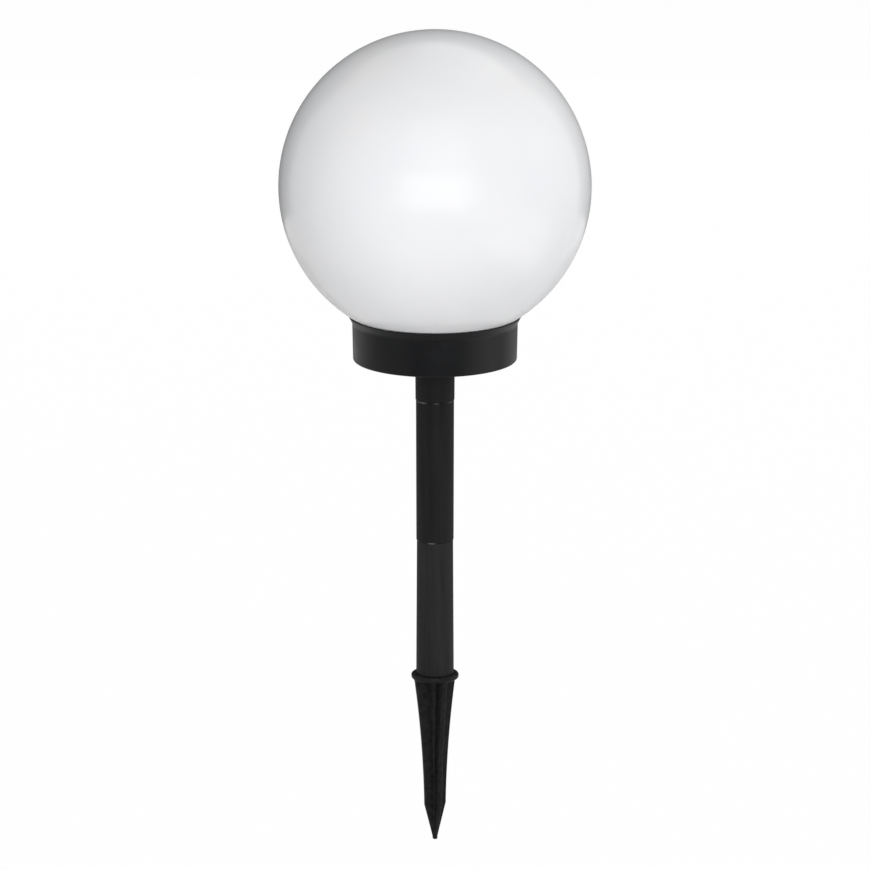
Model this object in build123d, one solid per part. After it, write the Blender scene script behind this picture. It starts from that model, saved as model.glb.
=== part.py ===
from build123d import *
import math
import os

# Solar garden lamp: an opal globe on a black base, on a pole of two tubes with a ground spike.
# Millimetres. Z is up, and z = 0 is the ground line, at the underside of the spike's collar.

# Globe
globe_diameter = 200.0
globe_wall = 2.0
neck_wall = 2.0
shoulder_width = 2.0  # flat ring round the neck, which presses on the gasket
gasket_thickness = 2.0
gasket_clearance = 0.3

# Bayonet between the globe's neck and the base
lug_count = 3
lug_reach = 1.7
lug_height = 2.5
lug_arc = 24.0  # degrees
lug_play = 0.3  # height between a lug and the ledge that holds it down
lug_clearance = 0.35
ledge_height = 2.5
entry_play = 6.0  # degrees on each side of a lug in its way in
twist_angle = 45.0  # degrees from the way in to the stop
stop_arc = 4.0  # degrees
stop_play = 1.0  # degrees

# Base cup, which is as wide as the deck inside it needs
cup_draft = 0.5  # how much narrower the wall is at its foot
cup_wall = 2.2
cup_height = 29.5  # from the foot to the edge of the lip
cup_foot_round = 1.0
lip_flare = 2.3  # how far the lip stands out from the wall
lip_drop = 5.2
lip_edge = 0.7
lip_blend = 4.0
lip_round = 0.25
seat_gap = 0.4  # between the lip and the globe
recess_depth = 3.0  # from the foot up to the underside of the floor
floor_thickness = 2.0
floor_rib_count = 6
floor_rib_thickness = 1.6
floor_rib_height = 2.0
boss_wall = 2.1
boss_cap = 1.5
mouth_clearance = 1.6  # from the pole socket's seat to the floor ribs

# Pole
spigot_length = 24.0
spigot_wall = 1.8
spigot_clearance = 0.1
spigot_lead = 1.0  # chamfer at a spigot's end
socket_spare = 1.5  # room over a spigot in its socket
edge_break = 0.45  # chamfer on both sides of each joint line
tube_bore = 19.6
tube_shoulder = 2.0
lower_tube_length = 89.5
lower_tube_foot_diameter = 24.3
lower_tube_top_diameter = 23.3
upper_tube_length = 93.0
upper_tube_foot_diameter = 24.0
upper_tube_top_diameter = 24.4
coupler_length = 27.0  # seen below the base
coupler_foot_diameter = 25.0
coupler_top_diameter = 25.4
coupler_plug_diameter = 21.8
coupler_plug_length = 15.0
coupler_plug_wall = 1.9

# Ground spike
collar_diameter = 30.8
collar_thickness = 3.6
collar_round = 1.4
spike_length = 110.0
point_length = 24.5
blade_thickness = 3.0
blade_top_radius = 14.7
blade_middle_radius = 9.7
blade_shoulder_radius = 7.5
blade_tip_radius = 1.1
core_top_radius = 4.4
core_tip_radius = 1.6
spike_turn = 28.0  # degrees that the blades are turned about the pole

# Battery, AA size, in its tray
battery_diameter = 14.5
battery_length = 50.5
battery_nub_diameter = 5.5
battery_nub_height = 1.2
battery_edge_round = 0.6
battery_gap = 0.5
battery_lift = 5.8  # height of the ribs under the battery
battery_rib_thickness = 2.0
battery_rib_spacing = 30.0
battery_rib_gap = 0.1
tray_wall = 1.5
tray_boss_gap = 1.5  # between the tray and the pole's boss
tray_deck_gap = 0.5
contact_thickness = 0.5
contact_side = 11.0
tab_width = 3.0
tab_reach = 2.5  # past the tray's end wall
tab_drop = 3.5  # below the battery's axis
tab_clearance = 0.2
spring_length = 5.5
spring_wire = 0.7
spring_turns = 4
spring_large_radius = 4.8
spring_small_radius = 2.4

# Battery cover
cover_end_margin = 8.5  # past the battery's room, for a screw
cover_side_margin = 2.0
cover_thickness = 1.8
cover_edge_round = 0.6
cover_lip_depth = 1.4
cover_lip_wall = 1.2
cover_clearance = 0.25
cover_screw_inset = 3.7

# Deck under the globe
deck_thickness = 2.0
deck_margin = 0.25  # round the battery cover and the circuit board
deck_clearance = 0.7  # inside the globe's neck
deck_battery_gap = 0.8
deck_edge_break = 0.5
deck_post_radius = 3.5
deck_post_inset = 3.0  # from the globe's neck to a post
deck_post_angles = (30.0, 150.0, 270.0)

# Solar panel
panel_side = 44.0
panel_board_thickness = 1.6
panel_clearance = 0.3
panel_rim_width = 1.6
panel_rim_height = 1.8
panel_cover_gap = 1.0  # between the panel's rim and the battery cover
panel_resin_thickness = 1.0
cell_count = 4
cell_thickness = 0.3
cell_gap = 0.8
cell_margin = 2.0

# LEDs
led_diameter = 5.0
led_flange_diameter = 5.8
led_flange_thickness = 1.0
led_height = 8.0
led_clearance = 0.1
led_offset = 6.0  # from the panel's rim
led_spacing = 16.0
led_group_y = 2.0
led_pin_side = 0.5
led_pin_pitch = 2.54
led_pin_length = 3.2
led_pin_clearance = 0.2
led_board_width = 7.0
led_board_margin = 4.0
led_board_thickness = 1.2
led_board_gap = 0.5

# Circuit board and switch
board_width = 32.0
board_depth = 16.0
board_thickness = 1.2
board_switch_offset = 4.5  # from the board's middle to the switch
board_boss_radius = 2.6
board_boss_inset = 3.5
switch_width = 11.0
switch_depth = 5.6
switch_height = 4.2
switch_offset = 4.3  # behind the panel's rim
switch_travel = 4.0
knob_width = 3.0
knob_depth = 2.6
knob_reach = 2.0  # above the deck
knob_depth_inside = 2.0
knob_clearance = 0.15
knob_round = 0.4
chip_size = (4.4, 3.4, 2.2)
chip_place = (7.2, -4.0)
inductor_radius = 1.4
inductor_length = 6.5
inductor_place = (-6.5, -4.0)
capacitor_radius = 2.0
capacitor_height = 3.0
capacitor_place = (10.0, 4.0)

# Screws and leads
screw_head_radius = 2.5
screw_head_height = 1.5
screw_head_round = 0.7
screw_radius = 1.2
screw_length = 7.0
board_screw_length = 4.0
pilot_clearance = 0.05
pilot_spare = 1.0
screw_hole_clearance = 0.3
lead_diameter = 1.2
lead_hole_radius = 2.6
panel_lead_pitch = 2.4
panel_lead_inset = 2.8  # from the panel's edge
battery_lead_stub = 4.0  # straight out of the contact's tab
battery_lead_route = ((0.23, 3.0), (0.52, -2.0), (0.85, -5.0))  # share of the way to the board, x from the tab
board_lead_inset = 2.0  # from the board's side
board_lead_offset = 4.0  # behind the board's middle
board_lead_reach = 3.0  # past the board's side
led_lead_pitch = 2.6
led_lead_drop = 3.2  # from the circuit board down to the run of the LEDs' leads
led_lead_bend = (0.35, 0.46)  # shares of the way to the board, in x and y, where a lead bends
led_lead_offset = 3.0  # on both sides of the board's middle
lead_rise = 0.3
fillet_share = 0.45  # share of a run that a lead's bend may take

# Levels of the pole and the base
lower_tube_z = collar_thickness
upper_tube_z = lower_tube_z + lower_tube_length
coupler_z = upper_tube_z + upper_tube_length
base_z = coupler_z + coupler_length
floor_z = base_z + recess_depth
floor_top = floor_z + floor_thickness
lip_z = base_z + cup_height

# Pole fits
bore_radius = tube_bore / 2
spigot_radius = bore_radius - spigot_clearance
plug_radius = coupler_plug_diameter / 2
socket_radius = plug_radius + spigot_clearance
socket_top = floor_z + coupler_plug_length + socket_spare
boss_radius = socket_radius + boss_wall

# Battery tray and deck
battery_radius = battery_diameter / 2
battery_room = battery_radius + battery_gap
tray_half = (battery_length + spring_length) / 2 + contact_thickness
tray_end = tray_half + tray_wall
battery_y = -(boss_radius + tray_boss_gap + tray_wall + battery_room)
battery_z = floor_top + battery_lift + battery_radius
positive_x = contact_thickness - tray_half
negative_x = positive_x + battery_length
tab_z = battery_z - tab_drop
tab_end = tray_end + tab_reach
deck_z = battery_z + battery_radius + deck_battery_gap
deck_top = deck_z + deck_thickness
cover_length = 2 * (tray_half + cover_end_margin)
cover_width = 2 * (battery_room + cover_side_margin)
cover_screw_x = cover_length / 2 - cover_screw_inset
cover_screw_places = [(side * cover_screw_x, battery_y) for side in (-1, 1)]
pilot_radius = screw_radius + pilot_clearance
screw_hole_radius = screw_radius + screw_hole_clearance

# Panel, LEDs and board on the deck
panel_room = panel_side / 2 + panel_clearance
panel_reach = panel_room + panel_rim_width
panel_y = battery_y + cover_width / 2 + panel_cover_gap + panel_reach
panel_board_top = deck_top + panel_board_thickness
led_x = panel_reach + led_offset
led_places = [
    (side * led_x, led_group_y + end * led_spacing / 2) for side in (-1, 1) for end in (-1, 1)
]
led_foot = deck_z - led_flange_thickness
led_board_top = led_foot - led_board_gap
led_board_z = led_board_top - led_board_thickness
switch_y = panel_y + panel_reach + switch_offset
switch_slot = (knob_width + switch_travel + 2 * knob_clearance, knob_depth + 2 * knob_clearance)
board_y = switch_y - board_switch_offset
board_top = deck_z - switch_height
board_z = board_top - board_thickness
board_screw_places = [
    (side * (board_width / 2 - board_boss_inset), board_y - board_depth / 2 + board_boss_inset)
    for side in (-1, 1)
]
panel_lead_y = panel_y + panel_side / 2 - panel_lead_inset

# Globe and base, from the deck outwards
cover_reach = math.hypot(cover_length / 2 - cover_width / 2, battery_y) + cover_width / 2
board_reach = math.hypot(board_width / 2, board_y + board_depth / 2)
deck_radius = max(cover_reach, board_reach) + deck_margin
neck_inner = deck_radius + deck_clearance
neck_radius = neck_inner + neck_wall
lug_tip = neck_radius + lug_reach
cup_inner = lug_tip + lug_clearance
cup_radius = cup_inner + cup_wall
foot_radius = cup_radius - cup_draft
lip_radius = cup_radius + lip_flare
globe_radius = globe_diameter / 2
seat_radius = globe_radius + seat_gap
globe_z = lip_z + math.sqrt(seat_radius**2 - lip_radius**2)
shoulder_radius = neck_radius + shoulder_width
shoulder_z = globe_z - math.sqrt(globe_radius**2 - shoulder_radius**2)
ledge_top = shoulder_z - gasket_thickness
ledge_z = ledge_top - ledge_height
lug_top = ledge_z - lug_play
neck_z = lug_top - lug_height
lug_pitch = 360.0 / lug_count
post_circle = neck_inner - deck_post_inset - deck_post_radius
post_places = [
    (post_circle * math.cos(math.radians(a)), post_circle * math.sin(math.radians(a)))
    for a in deck_post_angles
]


def disc(radius, bottom, top, place=(0, 0)):
    """An upright cylinder."""
    return Pos(*place, bottom) * extrude(Circle(radius), top - bottom)


def ring(outer, inner, bottom, top):
    """A ring about the pole."""
    return Pos(0, 0, bottom) * extrude(Circle(outer) - Circle(inner), top - bottom)


def block(size, bottom, top, place=(0, 0)):
    """An upright box, centred on a place."""
    return Pos(*place, bottom) * extrude(Rectangle(*size), top - bottom)


def half_section(*edges):
    """A half section in the XZ plane, given as radius and height."""
    return Plane.XZ * make_face(Curve() + list(edges))


def rounded(section, corners, radius):
    """A half section with some of its corners rounded."""
    for r, z in corners:
        corner = section.vertices().sort_by_distance((r, 0, z))[0]
        section = fillet(corner, radius)
    return section


def sector(inner, outer, bottom, top, middle, arc):
    """A stretch of a ring about the pole, centred on an angle in degrees."""
    section = Plane.XZ * Pos((inner + outer) / 2, (bottom + top) / 2) * Rectangle(outer - inner, top - bottom)
    return Rot(0, 0, middle - arc / 2) * revolve(section, Axis.Z, arc)


def screw(place, seat, length, head_up=True):
    """A pan-head screw with the underside of its head at the seat."""
    head = extrude(Circle(screw_head_radius), screw_head_height)
    head = fillet(head.edges().sort_by(Axis.Z)[-1], screw_head_round)
    body = head + Pos(0, 0, -length) * extrude(Circle(screw_radius), length)
    if not head_up:
        body = Rot(180, 0, 0) * body
    return Pos(*place, seat) * body


def group(solids):
    """Separate solids in one node."""
    return Compound(children=list(solids))


def make_globe():
    """The opal ball with its flat shoulder, its neck and the bayonet lugs."""
    inner_radius = globe_radius - globe_wall
    inner_z = globe_z - math.sqrt(inner_radius**2 - neck_inner**2)
    section = half_section(
        Polyline(
            (neck_inner, inner_z),
            (neck_inner, neck_z),
            (neck_radius, neck_z),
            (neck_radius, shoulder_z),
            (shoulder_radius, shoulder_z),
        ),
        ThreePointArc(
            (shoulder_radius, shoulder_z), (globe_radius, globe_z), (0, globe_z + globe_radius)
        ),
        Line((0, globe_z + globe_radius), (0, globe_z + inner_radius)),
        ThreePointArc((0, globe_z + inner_radius), (inner_radius, globe_z), (neck_inner, inner_z)),
    )
    globe = revolve(section, Axis.Z)
    for i in range(lug_count):
        globe += sector(neck_radius - neck_wall / 2, lug_tip, neck_z, lug_top, i * lug_pitch, lug_arc)
    return globe


def make_gasket():
    """The flat ring between the globe's shoulder and the bayonet ledges."""
    return ring(cup_inner - gasket_clearance, neck_radius + gasket_clearance, ledge_top, shoulder_z)


def make_base_cup():
    """The black base: wall, lip, bayonet ledges, floor, pole socket, battery tray and deck posts."""
    wall_top = lip_z - lip_drop
    lip_foot = lip_z - lip_edge
    dish_z = globe_z - math.sqrt(seat_radius**2 - cup_inner**2)
    dish_middle = (lip_radius + cup_inner) / 2
    dish_middle_z = globe_z - math.sqrt(seat_radius**2 - dish_middle**2)
    foot_inner = foot_radius - cup_wall
    section = half_section(
        Polyline(
            (foot_inner, base_z),
            (foot_radius, base_z),
            (cup_radius, wall_top),
            (lip_radius, lip_foot),
            (lip_radius, lip_z),
        ),
        ThreePointArc((lip_radius, lip_z), (dish_middle, dish_middle_z), (cup_inner, dish_z)),
        Polyline(
            (cup_inner, dish_z),
            (cup_inner, floor_top),
            (0, floor_top),
            (0, floor_z),
            (foot_inner, floor_z),
            (foot_inner, base_z),
        ),
    )
    section = rounded(section, [(foot_radius, base_z)], cup_foot_round)
    section = rounded(section, [(cup_radius, wall_top)], lip_blend)
    section = rounded(section, [(lip_radius, lip_foot), (lip_radius, lip_z)], lip_round)
    cup = revolve(section, Axis.Z)

    # Ledges that the lugs turn under, and the stop at the end of each
    ledge_inner = neck_radius + lug_clearance
    ledge_outer = cup_radius - cup_wall / 2
    entry_arc = lug_arc + 2 * entry_play
    stop_middle = twist_angle + lug_arc / 2 + stop_play + stop_arc / 2
    for i in range(lug_count):
        ledge_middle = (i + 0.5) * lug_pitch
        cup += sector(ledge_inner, ledge_outer, ledge_z, ledge_top, ledge_middle, lug_pitch - entry_arc)
        cup += sector(ledge_inner, ledge_outer, neck_z, ledge_z, i * lug_pitch + stop_middle, stop_arc)

    # Ribs under the floor, from the pole socket's seat to the foot
    rib_start = coupler_top_diameter / 2 + mouth_clearance
    rib_end = foot_inner + cup_wall / 2
    rib = Pos((rib_start + rib_end) / 2, 0, floor_z - floor_rib_height) * extrude(
        Rectangle(rib_end - rib_start, floor_rib_thickness), floor_rib_height
    )
    for i in range(floor_rib_count):
        cup += Rot(0, 0, (i + 0.5) * 360.0 / floor_rib_count) * rib

    cup += disc(boss_radius, floor_top, socket_top + boss_cap)
    cup -= disc(socket_radius, floor_z, socket_top)
    for place in post_places:
        cup += disc(deck_post_radius, floor_top, deck_z, place)
        cup -= disc(pilot_radius, deck_z - screw_length - pilot_spare, deck_z, place)

    # Battery tray, with ribs under the battery and a slot for each contact's tab
    tray_top = deck_z - tray_deck_gap
    middle = (0, battery_y)
    cup += block((2 * tray_end, 2 * (battery_room + tray_wall)), floor_top, tray_top, middle)
    cup -= block((2 * tray_half, 2 * battery_room), floor_top, tray_top, middle)
    for side in (-1, 1):
        rib_place = (side * battery_rib_spacing / 2, battery_y)
        rib_top = floor_top + battery_lift - battery_rib_gap
        cup += block((battery_rib_thickness, 2 * battery_room), floor_top, rib_top, rib_place)
        slot_place = (side * (tray_half + tray_wall / 2), battery_y)
        slot_size = (2 * tray_wall, tab_width + 2 * tab_clearance)
        slot_z = tab_z - contact_thickness / 2 - tab_clearance
        cup -= block(slot_size, slot_z, slot_z + contact_thickness + 2 * tab_clearance, slot_place)
    return cup


def tube(foot_diameter, top_diameter, foot, top):
    """A tapered pole tube, open below for a spigot and necked in above to its own spigot."""
    spigot_top = top + spigot_length
    spigot_inner = spigot_radius - spigot_wall
    neck_in = bore_radius - spigot_inner
    section = half_section(
        Polyline(
            (bore_radius, foot),
            (foot_diameter / 2 - edge_break, foot),
            (foot_diameter / 2, foot + edge_break),
            (top_diameter / 2, top - edge_break),
            (top_diameter / 2 - edge_break, top),
            (spigot_radius, top),
            (spigot_radius, spigot_top - spigot_lead),
            (spigot_radius - spigot_lead, spigot_top),
            (spigot_inner, spigot_top),
            (spigot_inner, top - tube_shoulder),
            (bore_radius, top - tube_shoulder - neck_in),
            (bore_radius, foot),
        )
    )
    return revolve(section, Axis.Z)


def make_coupler():
    """The sleeve under the base: a socket for the upper tube and a plug into the base."""
    plug_top = floor_z + coupler_plug_length
    plug_inner = plug_radius - coupler_plug_wall
    socket_end = coupler_z + spigot_length + socket_spare
    foot_radius_out = coupler_foot_diameter / 2
    top_radius_out = coupler_top_diameter / 2
    section = half_section(
        Polyline(
            (bore_radius, coupler_z),
            (foot_radius_out - edge_break, coupler_z),
            (foot_radius_out, coupler_z + edge_break),
            (top_radius_out, floor_z),
            (plug_radius, floor_z),
            (plug_radius, plug_top - spigot_lead),
            (plug_radius - spigot_lead, plug_top),
            (plug_inner, plug_top),
            (plug_inner, socket_end + bore_radius - plug_inner),
            (bore_radius, socket_end),
            (bore_radius, coupler_z),
        )
    )
    return revolve(section, Axis.Z)


def make_spike():
    """The ground spike: four tapered blades on a round core, a collar and a hollow spigot."""
    shoulder = point_length - spike_length
    outline = make_face(
        Curve()
        + [
            ThreePointArc(
                (blade_top_radius, 0), (blade_middle_radius, shoulder / 2), (blade_shoulder_radius, shoulder)
            ),
            Polyline(
                (blade_shoulder_radius, shoulder),
                (blade_tip_radius, -spike_length),
                (0, -spike_length),
                (0, 0),
                (blade_top_radius, 0),
            ),
        ]
    )
    outline += mirror(outline, Plane.YZ)
    blade = extrude(Plane.XZ * outline, blade_thickness / 2, both=True)
    core_length = spike_length - point_length / 2
    core = Pos(0, 0, -core_length) * Cone(
        core_tip_radius, core_top_radius, core_length, align=(Align.CENTER, Align.CENTER, Align.MIN)
    )
    blades = Rot(0, 0, spike_turn) * (blade + Rot(0, 0, 90) * blade + core)
    collar = disc(collar_diameter / 2, 0, collar_thickness)
    collar = fillet(collar.edges(), collar_round)
    spigot_top = collar_thickness + spigot_length
    spigot = disc(spigot_radius, collar_thickness, spigot_top)
    spigot = chamfer(spigot.edges().sort_by(Axis.Z)[-1], spigot_lead)
    spigot -= disc(spigot_radius - spigot_wall, collar_thickness, spigot_top)
    return blades + collar + spigot


def make_deck():
    """The plate that closes the base and carries the panel, LEDs, board, switch and battery cover."""
    deck = disc(deck_radius, deck_z, deck_top)
    deck = chamfer(deck.edges().sort_by(Axis.Z)[-1], deck_edge_break)
    rim_top = deck_top + panel_rim_height
    deck += block((2 * panel_reach, 2 * panel_reach), deck_top, rim_top, (0, panel_y))
    deck -= block((2 * panel_room, 2 * panel_room), deck_top, rim_top, (0, panel_y))
    deck -= block((2 * tray_half, 2 * battery_room), deck_z, deck_top, (0, battery_y))
    deck -= block(switch_slot, deck_z, deck_top, (0, switch_y))
    deck -= disc(lead_hole_radius, deck_z, deck_top, (0, panel_lead_y))
    for place in led_places:
        deck -= disc(led_diameter / 2 + led_clearance, deck_z, deck_top, place)
    for place in post_places:
        deck -= disc(screw_hole_radius, deck_z, deck_top, place)
    for place in board_screw_places:
        deck += disc(board_boss_radius, board_top, deck_z, place)
        deck -= disc(pilot_radius, board_top, deck_z + deck_thickness / 2, place)
    for place in cover_screw_places:
        boss_z = deck_top - screw_length
        deck += disc(screw_head_radius, boss_z, deck_z, place)
        deck -= disc(pilot_radius, boss_z, deck_top, place)
    return deck


def make_battery_cover():
    """The lid over the battery, with a lip that locates it in the deck's opening."""
    cover = Pos(0, battery_y, deck_top) * extrude(SlotOverall(cover_length, cover_width), cover_thickness)
    cover = fillet(cover.faces().sort_by(Axis.Z)[-1].edges(), cover_edge_round)
    lip_half = (tray_half - cover_clearance, battery_room - cover_clearance)
    lip = block((2 * lip_half[0], 2 * lip_half[1]), deck_top - cover_lip_depth, deck_top, (0, battery_y))
    inner = (2 * (lip_half[0] - cover_lip_wall), 2 * (lip_half[1] - cover_lip_wall))
    lip -= block(inner, deck_top - cover_lip_depth, deck_top, (0, battery_y))
    cover += lip
    for place in cover_screw_places:
        cover -= disc(screw_hole_radius, deck_top, deck_top + cover_thickness, place)
    return cover


def make_battery():
    """An AA cell lying along X, with its nub at the -X end."""
    nub_radius = battery_nub_diameter / 2
    can_top = battery_length - battery_nub_height
    section = half_section(
        Polyline(
            (0, 0),
            (battery_radius, 0),
            (battery_radius, can_top),
            (nub_radius, can_top),
            (nub_radius, battery_length),
            (0, battery_length),
            (0, 0),
        )
    )
    section = rounded(section, [(battery_radius, 0), (battery_radius, can_top)], battery_edge_round)
    return Pos(negative_x, battery_y, battery_z) * Rot(0, -90, 0) * revolve(section, Axis.Z)


def contact(side):
    """A contact plate at one end of the tray, with its solder tab through the end wall."""
    plate = Box(contact_thickness, contact_side, contact_side)
    plate_x = side * (tray_half - contact_thickness / 2)
    tab_length = tab_end - tray_half + contact_thickness
    tab = Box(tab_length, tab_width, contact_thickness)
    tab_x = side * (tab_end - tab_length / 2)
    return Pos(plate_x, battery_y, battery_z) * plate + Pos(tab_x, battery_y, tab_z) * tab


def biarc(start, start_way, end, end_way):
    """Two arcs that join two points along given unit directions."""
    chord = end - start
    ways = start_way + end_way
    bend = 4.0 - ways.dot(ways)
    along = chord.dot(ways)
    reach = (math.sqrt(along**2 + bend * chord.dot(chord)) - along) / bend
    first = start + start_way * reach
    second = end - end_way * reach
    joint = (first + second) * 0.5
    return [TangentArc(start, joint, tangent=start_way), TangentArc(joint, end, tangent=second - first)]


def make_spring():
    """The conical spring at the battery's flat end, wound about X."""
    wire_radius = spring_wire / 2
    start_x = tray_half - contact_thickness - wire_radius
    end_x = negative_x + wire_radius
    quarters = 4 * spring_turns
    shrink = (spring_small_radius - spring_large_radius) / (spring_turns * 2 * math.pi)
    advance = (end_x - start_x) / (spring_turns * 2 * math.pi)

    def point(angle):
        radius = spring_large_radius + shrink * angle
        return Vector(
            start_x + advance * angle,
            battery_y + radius * math.cos(angle),
            battery_z + radius * math.sin(angle),
        )

    def way(angle):
        radius = spring_large_radius + shrink * angle
        return Vector(
            advance,
            shrink * math.cos(angle) - radius * math.sin(angle),
            shrink * math.sin(angle) + radius * math.cos(angle),
        ).normalized()

    angles = [i * math.pi / 2 for i in range(quarters + 1)]
    path = []
    for a, b in zip(angles, angles[1:]):
        path += biarc(point(a), way(a), point(b), way(b))
    least = min(
        (point(a) - point(b)).length for a in angles for b in angles if b - a > math.pi
    )
    print("battery_spring least gap between turns:", round(least - spring_wire, 2))
    section = Plane(origin=point(0), z_dir=way(0)) * Circle(wire_radius)
    return sweep(section, path=Wire(path))


def make_panel_cells():
    """Strips of solar cell across the panel."""
    length = panel_side - 2 * cell_margin
    width = (length - (cell_count - 1) * cell_gap) / cell_count
    first = panel_y - length / 2 + width / 2
    return [
        block((length, width), panel_board_top, panel_board_top + cell_thickness, (0, first + i * (width + cell_gap)))
        for i in range(cell_count)
    ]


def make_panel_cover(cells):
    """The clear resin over the cells."""
    cover = block((panel_side, panel_side), panel_board_top, panel_board_top + panel_resin_thickness, (0, panel_y))
    for cell in cells:
        cover -= cell
    return cover


def led(place):
    """A round LED with its flange under the deck."""
    radius = led_diameter / 2
    body = disc(radius, led_foot, led_foot + led_height - radius, place)
    body += disc(led_flange_diameter / 2, led_foot, deck_z, place)
    return body + Pos(*place, led_foot + led_height - radius) * Sphere(radius)


def led_pin_places(place):
    """Where an LED's two pins stand."""
    return [(place[0], place[1] + end * led_pin_pitch / 2) for end in (-1, 1)]


def make_led_pins():
    """Two square pins under each LED."""
    size = (led_pin_side, led_pin_side)
    places = [pin for place in led_places for pin in led_pin_places(place)]
    return group(block(size, led_foot - led_pin_length, led_foot, pin) for pin in places)


def led_board(side):
    """The strip board that carries one pair of LEDs."""
    size = (led_board_width, led_spacing + 2 * led_board_margin)
    board = block(size, led_board_z, led_board_top, (side * led_x, led_group_y))
    hole = led_pin_side / 2 * math.sqrt(2) + led_pin_clearance
    for place in led_places:
        if place[0] * side > 0:
            for pin in led_pin_places(place):
                board -= disc(hole, led_board_z, led_board_top, pin)
    return board


def on_board(place):
    """A place on the circuit board, from its centre."""
    return (place[0], board_y + place[1])


def make_board():
    """The circuit board under the deck."""
    board = block((board_width, board_depth), board_z, board_top, (0, board_y))
    for place in board_screw_places:
        board -= disc(screw_hole_radius, board_z, board_top, place)
    return board


def make_inductor():
    """The axial choke lying on the board."""
    return Pos(*on_board(inductor_place), board_top + inductor_radius) * Rot(0, 90, 0) * Cylinder(
        inductor_radius, inductor_length
    )


def make_switch_housing():
    """The slide switch's case, open above for its knob."""
    place = (0, switch_y)
    housing = block((switch_width, switch_depth), board_top, deck_z, place)
    return housing - block(switch_slot, deck_z - knob_depth_inside - knob_clearance, deck_z, place)


def make_switch_knob():
    """The switch's slider, at the end of its travel."""
    size = (knob_width, knob_depth)
    place = (-switch_travel / 2, switch_y)
    knob = block(size, deck_z - knob_depth_inside, deck_top + knob_reach, place)
    return fillet(knob.faces().sort_by(Axis.Z)[-1].edges(), knob_round)


def lead(points):
    """A round lead along runs joined by arcs as large as the runs allow."""
    places = [Vector(*p) for p in points]
    radii = []
    for before, at, after in zip(places, places[1:], places[2:]):
        turn = math.radians((at - before).get_angle(after - at))
        shorter = min((at - before).length, (after - at).length)
        radii.append(fillet_share * shorter / math.tan(turn / 2))
    path = FilletPolyline(*places, radius=radii)
    section = Plane(origin=path @ 0, z_dir=path % 0) * Circle(lead_diameter / 2)
    return sweep(section, path=path)


def panel_lead(side):
    """A short straight lead from the panel down to the board."""
    return disc(lead_diameter / 2, board_top, deck_top, (side * panel_lead_pitch / 2, panel_lead_y))


def battery_lead(side):
    """A lead from a contact's tab round the pole's boss to the board."""
    end_x = side * (board_width / 2 - board_lead_inset)
    end_y = board_y + board_lead_offset
    points = [(side * tab_end, battery_y, tab_z), (side * (tab_end + battery_lead_stub), battery_y, tab_z)]
    for share, offset in battery_lead_route:
        points.append((side * (tab_end + offset), battery_y + share * (board_y - battery_y), tab_z))
    points.append((side * (board_width / 2 + board_lead_reach), board_y, tab_z))
    points.append((end_x, end_y, tab_z + lead_rise))
    points.append((end_x, end_y, board_z))
    return lead(points)


def led_lead(side, strand):
    """A lead from an LED strip to the board. The two strands run side by side."""
    start_x = side * (led_x + strand * led_lead_pitch / 2)
    end_x = side * (board_width / 4 + strand * led_lead_pitch / 2)
    start_y = led_group_y + led_spacing / 4
    near_y = board_y - led_lead_offset
    end_y = board_y + led_lead_offset
    bend_x = start_x + led_lead_bend[0] * (end_x - start_x)
    bend_y = start_y + led_lead_bend[1] * (near_y - start_y)
    run_z = board_z - led_lead_drop
    return lead(
        [
            (start_x, start_y, led_board_z),
            (start_x, start_y, run_z),
            (bend_x, bend_y, run_z),
            (end_x, near_y, run_z),
            (end_x, end_y, run_z + lead_rise),
            (end_x, end_y, board_z),
        ]
    )


cells = make_panel_cells()
chip_width, chip_depth, chip_height = chip_size
nodes = {
    "ground_spike": make_spike(),
    "lower_tube": tube(lower_tube_foot_diameter, lower_tube_top_diameter, lower_tube_z, upper_tube_z),
    "upper_tube": tube(upper_tube_foot_diameter, upper_tube_top_diameter, upper_tube_z, coupler_z),
    "pole_coupler": make_coupler(),
    "base_cup": make_base_cup(),
    "globe": make_globe(),
    "globe_gasket": make_gasket(),
    "deck_plate": make_deck(),
    "deck_screws": group(screw(place, deck_top, screw_length) for place in post_places),
    "solar_panel_board": block((panel_side, panel_side), deck_top, panel_board_top, (0, panel_y)),
    "solar_cells": group(cells),
    "solar_panel_cover": make_panel_cover(cells),
    "led_lenses": group(led(place) for place in led_places),
    "led_pins": make_led_pins(),
    "led_boards": group(led_board(side) for side in (-1, 1)),
    "circuit_board": make_board(),
    "board_screws": group(
        screw(place, board_z, board_screw_length, head_up=False) for place in board_screw_places
    ),
    "driver_chip": block((chip_width, chip_depth), board_top, board_top + chip_height, on_board(chip_place)),
    "inductor": make_inductor(),
    "capacitor": disc(capacitor_radius, board_top, board_top + capacitor_height, on_board(capacitor_place)),
    "switch_housing": make_switch_housing(),
    "switch_knob": make_switch_knob(),
    "battery_cell": make_battery(),
    "battery_contact_plate": contact(-1),
    "battery_spring_plate": contact(1),
    "battery_spring": make_spring(),
    "battery_cover": make_battery_cover(),
    "battery_cover_screws": group(
        screw(place, deck_top + cover_thickness, screw_length) for place in cover_screw_places
    ),
    "panel_lead_red": panel_lead(-1),
    "panel_lead_black": panel_lead(1),
    "battery_lead_red": battery_lead(-1),
    "battery_lead_black": battery_lead(1),
    "led_leads_red": group(led_lead(side, -1) for side in (-1, 1)),
    "led_leads_black": group(led_lead(side, 1) for side in (-1, 1)),
}

os.makedirs("parts", exist_ok=True)
for name, shape in nodes.items():
    export_step(shape, f"parts/{name}.step")
print(len(nodes), "nodes; base at", round(base_z, 2), "shoulder at", round(shoulder_z, 2))
print("globe centre at", round(globe_z, 2), "cup radius", round(cup_radius, 2), "foot", round(foot_radius, 2))
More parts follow.
